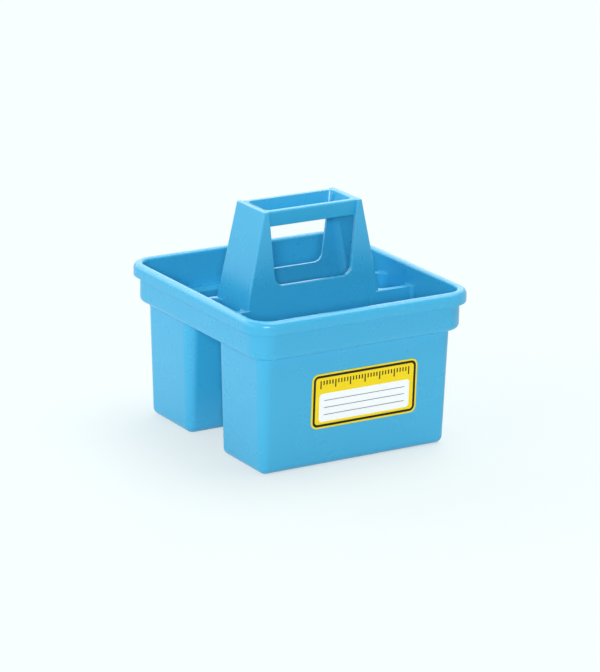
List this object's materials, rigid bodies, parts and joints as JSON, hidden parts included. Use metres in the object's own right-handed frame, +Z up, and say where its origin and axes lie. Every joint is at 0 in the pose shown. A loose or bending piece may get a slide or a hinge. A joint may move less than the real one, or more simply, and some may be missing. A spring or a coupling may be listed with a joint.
{
  "type": "tool caddy",
  "caption": "Portable moulded plastic tool caddy: twin tapered bins under a shared rimmed tray, with a tall hollow carrying handle, a hand opening, a grip trough and small side trays.",
  "frame": {"origin": "on the floor, under the middle of the rim", "axes": "+X to the right along the labelled front, +Y from the labelled front to the back, +Z up"},
  "size_m": [0.18, 0.1886, 0.1695],
  "materials": {
    "moulding": "sky blue injection-moulded polypropylene, satin, fine even texture",
    "label": null
  },
  "bodies": {
    "root": {"rim": "moulding", "upper_tray": "moulding", "front_bin": "moulding", "rear_bin": "moulding", "handle_left_stile": "moulding", "handle_right_stile": "moulding", "handle_front_panel": "moulding", "handle_rear_panel": "moulding", "grip_trough": "moulding", "right_front_divider": "moulding", "right_rear_divider": "moulding", "left_front_divider": "moulding", "left_rear_divider": "moulding", "label": "label"}
  },
  "joints": []
}
